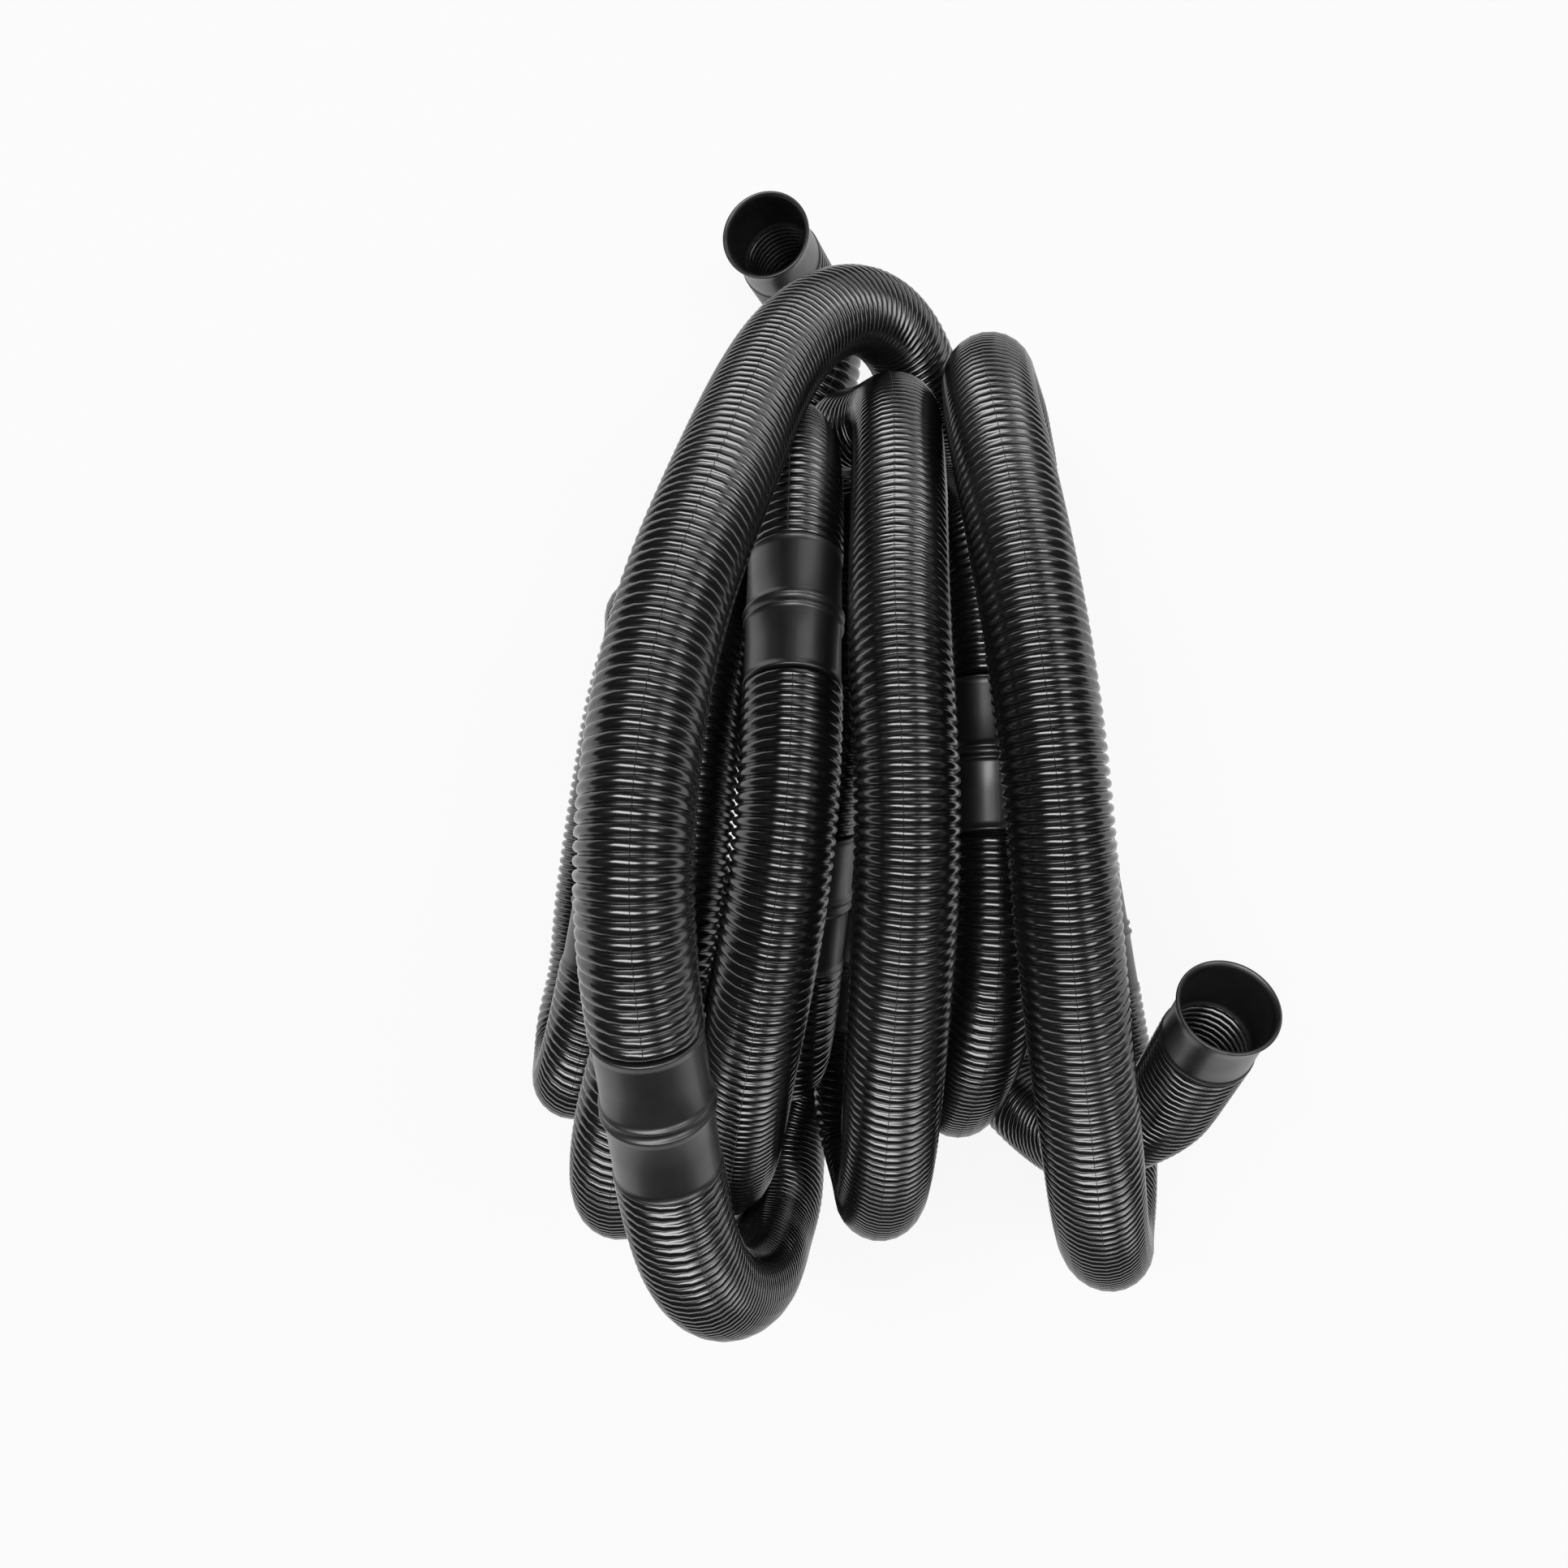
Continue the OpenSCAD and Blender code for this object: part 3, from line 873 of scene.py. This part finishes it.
def double_cuff_outline(sizes):
    """Up the outside over a smooth half, two thin bands and a smooth half, then down the bore."""
    half = CUFF_LENGTH / 2
    r = sizes.cuff_radius
    b = sizes.bore_radius
    smooth, foot = r - DRAWN_IN, r - FOOT_IN
    return (
        rounded(r - 2 * DRAWN_IN, -half + SHOULDER_MIDDLE, SHOULDER, -90, 70, 6)
        + [(smooth, -half + SMOOTH_FROM), (smooth, -half / 2), (foot, -0.0062)]
        + rounded(r + DRAWN_IN, -BAND_AT, LOWER_BAND, -75, 75, 6)
        + [(foot, -0.0001), (foot, 0.0003)]
        + rounded(r, BAND_AT, UPPER_BAND, -75, 75, 6)
        + [(smooth, 0.0050), (smooth, half / 2), (smooth, half - SMOOTH_FROM)]
        + rounded(r - 2 * DRAWN_IN, half - SHOULDER_MIDDLE, SHOULDER, -70, 90, 6)
        + [(b + BEVEL, half), (b, half - BEVEL_LENGTH)]
        + [(b, -half + BEVEL_LENGTH), (b + BEVEL, -half)]
    )


def end_cuff_outline(sizes):
    """From the mouth at height 0 up the outside to the hose, then back down the inside."""
    half = CUFF_LENGTH / 2
    r = sizes.cuff_radius
    b = sizes.bore_radius
    lip = LIP_D / 2
    wall = sizes.mouth_radius
    rolled_lip = rounded(lip - LIP_ROLL, LIP_ROLL, LIP_ROLL, -90, 60, 6)
    flare = [(lip - 0.0006, 0.0026), (lip - 0.0014, 0.0042), (r - FOOT_IN, 0.0066)]
    smooth = [
        (r - 2 * DRAWN_IN, 0.0105), (r - 2 * DRAWN_IN, half / 2),
        (r - DRAWN_IN, half - SMOOTH_FROM),
    ]
    shoulder = rounded(r - 0.0003, half - 0.0013, SHOULDER, -75, 90, 7)
    inner_step = [
        (b + 0.0010, half), (b + 0.0002, half - 0.0003), (b, half - 0.0009),
        (b + 0.0003, half - 0.0016), (wall - 0.0003, half - 0.0022), (wall, half - 0.0034),
    ]
    inner_flare = [
        (wall + 0.0002, 0.0090), (wall + 0.0006, 0.0040), (wall + 0.0010, 0.0020),
        (wall + 0.0014, 0.0011), (wall + 0.0019, 0.0007), (lip - 0.0013, 0.0002),
    ]
    return rolled_lip + flare + smooth + shoulder + inner_step + inner_flare


class HOSE_OT_double_cuffs(bpy.types.Operator):
    """Replace each double cuff between two sections with its moulded form"""

    bl_idname = "hose.double_cuffs"
    bl_label = "Double cuffs"

    def execute(self, context):
        sizes = context.scene.hose_sizes
        finish = context.scene.hose_finish
        black = plastic("cuff_plastic_smooth", finish, finish.cuff_roughness, False)
        for n in range(1, SECTIONS):
            piece = turned(
                f"cuff_{n}", double_cuff_outline(sizes), DOUBLE_CUFF_SIDES,
                ROUTE.placed(ROUTE.cuff_middle[n]), ROUTE.cuff_axis[n],
            )
            piece.data.materials.append(black)
            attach(piece, BODY)
            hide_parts(f"double_cuff_{n}")
        return {"FINISHED"}


class HOSE_OT_end_cuffs(bpy.types.Operator):
    """Replace the two push-on end cuffs with their lipped mouths"""

    bl_idname = "hose.end_cuffs"
    bl_label = "End cuffs"

    def execute(self, context):
        sizes = context.scene.hose_sizes
        finish = context.scene.hose_finish
        black = plastic("cuff_plastic_smooth", finish, finish.cuff_roughness, False)
        ends = ((0, 1, "cuff_0", "end_cuff_1"), (-1, -1, f"cuff_{SECTIONS}", "end_cuff_2"))
        for k, way_in, name, node in ends:
            piece = turned(
                name, end_cuff_outline(sizes), END_CUFF_SIDES,
                ROUTE.placed(ROUTE.cuff_middle[k]), ROUTE.cuff_axis[k] * way_in,
            )
            piece.data.materials.append(black)
            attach(piece, BODY)
            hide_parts(node)
        return {"FINISHED"}


# ---------------------------------------------------------------- stage

# Soft lamps: name, power in watts, depth and span of the panel, place and target
LAMPS = (
    ("lamp_over_left", 34, 0.75, 1.9, (-0.45, 0.15, 2.1), (-0.2, 0, 0.2)),
    ("lamp_right", 11, 1.2, 0.6, (1.15, 0.0, 1.9), (0, 0, 0.2)),
    ("lamp_behind", 9, 2.0, 1.0, (1.2, 2.0, 1.15), (0, 0, 0.2)),
)
# Light of the surroundings, which show white to the camera
WORLD_LIGHT = 0.055
# The floor lies this far below the hose's flat underside, so that the two don't flicker
FLOOR_DROP = 0.0004
# Width of the camera's sensor, in millimetres, and the nearest distance that it sees
SENSOR_WIDTH = 36
CLIP_START = 0.01


def lamp(name, power, depth, span, place, target):
    """A soft rectangle, depth along Y and span in the plane of X and Z, turned to a target."""
    data = bpy.data.lights.new(name, "AREA")
    data.shape = "RECTANGLE"
    data.size = depth
    data.size_y = span
    data.energy = power
    holder = bpy.data.objects.new(name, data)
    holder.location = place
    aim = Vector(target) - Vector(place)
    holder.rotation_euler = aim.to_track_quat("-Z", "Y").to_euler()
    bpy.context.scene.collection.objects.link(holder)


class HOSE_OT_stage(bpy.types.Operator):
    """Lay the pale floor, hang the soft lamps and set the camera"""

    bl_idname = "hose.stage"
    bl_label = "Stage"

    def execute(self, context):
        stage = context.scene.hose_stage
        reach = stage.floor_size / 2
        mesh = bpy.data.meshes.new("floor")
        corners = ((-reach, -reach), (reach, -reach), (reach, reach), (-reach, reach))
        mesh.from_pydata([(*corner, -FLOOR_DROP) for corner in corners], [], [(0, 1, 2, 3)])
        floor = bpy.data.objects.new("floor", mesh)
        mesh.materials.append(stage_material(stage.floor))
        context.scene.collection.objects.link(floor)

        for row in LAMPS:
            lamp(*row)

        world = bpy.data.worlds.new("studio")
        world.use_nodes = True
        tree = world.node_tree
        tree.nodes.clear()
        to_camera = add_node(tree, "ShaderNodeLightPath")[0]
        dim = add_node(
            tree, "ShaderNodeBackground", {}, {"Color": (1, 1, 1, 1), "Strength": WORLD_LIGHT}
        )[0]
        white = add_node(
            tree, "ShaderNodeBackground", {}, {"Color": (1, 1, 1, 1), "Strength": 1.0}
        )[0]
        shown = add_node(tree, "ShaderNodeMixShader", {}, {0: to_camera, 1: dim, 2: white})[0]
        add_node(tree, "ShaderNodeOutputWorld", {}, {"Surface": shown})
        context.scene.world = world

        context.scene.view_settings.view_transform = "Standard"
        data = bpy.data.cameras.new("camera")
        data.sensor_width = SENSOR_WIDTH
        data.sensor_fit = "HORIZONTAL"
        data.lens = stage.camera_lens
        data.clip_start = CLIP_START
        camera = bpy.data.objects.new("camera", data)
        camera.location = (-ROUTE.centre.x, -ROUTE.centre.y, stage.camera_height)
        context.scene.collection.objects.link(camera)
        context.scene.camera = camera
        return {"FINISHED"}


class HOSE_PT_panel(bpy.types.Panel):
    """Steps that dress the hose"""

    bl_idname = "HOSE_PT_panel"
    bl_label = "Pool vacuum hose"
    bl_space_type = "VIEW_3D"
    bl_region_type = "UI"
    bl_category = "Hose"

    def draw(self, context):
        for group in ("hose_sizes", "hose_finish", "hose_stage"):
            settings = getattr(context.scene, group)
            box = self.layout.box()
            for name in settings.__annotations__:
                box.prop(settings, name)
        for operator in STEPS:
            self.layout.operator(operator.bl_idname)


GROUPS = {"hose_sizes": HoseSizes, "hose_finish": HoseFinish, "hose_stage": HoseStage}
STEPS = (HOSE_OT_stage, HOSE_OT_double_cuffs, HOSE_OT_end_cuffs, HOSE_OT_ribbed_runs)


def register():
    for group in (*GROUPS.values(), *STEPS, HOSE_PT_panel):
        bpy.utils.register_class(group)
    for name, group in GROUPS.items():
        setattr(bpy.types.Scene, name, bpy.props.PointerProperty(type=group))


def unregister():
    for name in GROUPS:
        delattr(bpy.types.Scene, name)
    for group in reversed((*GROUPS.values(), *STEPS, HOSE_PT_panel)):
        bpy.utils.unregister_class(group)


def main():
    register()
    bpy.ops.hose.stage()
    bpy.ops.hose.double_cuffs()
    bpy.ops.hose.end_cuffs()
    bpy.ops.hose.ribbed_runs()


if __name__ == "__main__":
    main()
